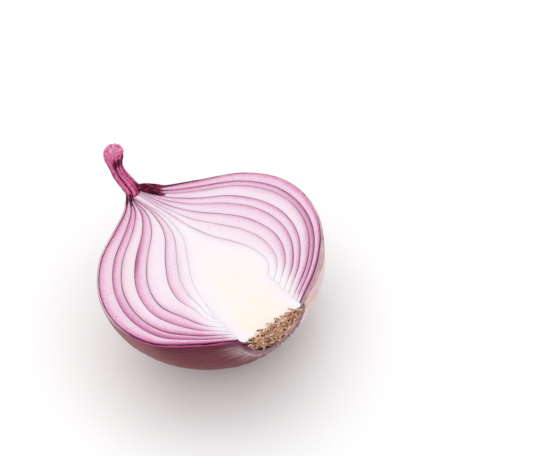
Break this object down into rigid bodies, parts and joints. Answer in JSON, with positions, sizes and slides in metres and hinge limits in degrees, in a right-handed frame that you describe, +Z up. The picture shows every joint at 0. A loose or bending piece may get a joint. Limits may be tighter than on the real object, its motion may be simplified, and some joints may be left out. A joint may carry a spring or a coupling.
{
  "type": "halved onion",
  "caption": "Red onion cut in half from neck to root, resting on its round side with the cut face up; nested fleshy scales inside a dry skin.",
  "frame": {"origin": "the middle of the small flat spot on the round underside, on the surface that the onion rests on", "axes": "+X runs from the neck to the root, +Y points to the fuller side of the cut face, +Z is up and out of the cut face"},
  "size_m": [0.0874, 0.0805, 0.048],
  "materials": {
    "dry_skin": "papery purple-maroon skin with a low sheen and fine lengthwise veins, paler and tan towards the root",
    "scale_flesh": "moist onion flesh, near white with a pink blush next to each scale's outer side and a thin purple epidermis between scales",
    "heart_flesh": "moist white heart, cream towards the stem disc",
    "dried_neck": "dried raspberry-pink neck with lengthwise wrinkles, dark maroon at its foot and pale at its tip",
    "dry_roots": "matted tan dry roots with dark brown between them"
  },
  "bodies": {
    "root": {"dry_skin": "dry_skin", "scale_1": "scale_flesh", "scale_2": "scale_flesh", "scale_3": "scale_flesh", "scale_4": "scale_flesh", "scale_5": "scale_flesh", "scale_6": "scale_flesh", "scale_7": "scale_flesh", "heart": "heart_flesh", "neck": "dried_neck", "root_tuft": "dry_roots"}
  },
  "joints": []
}
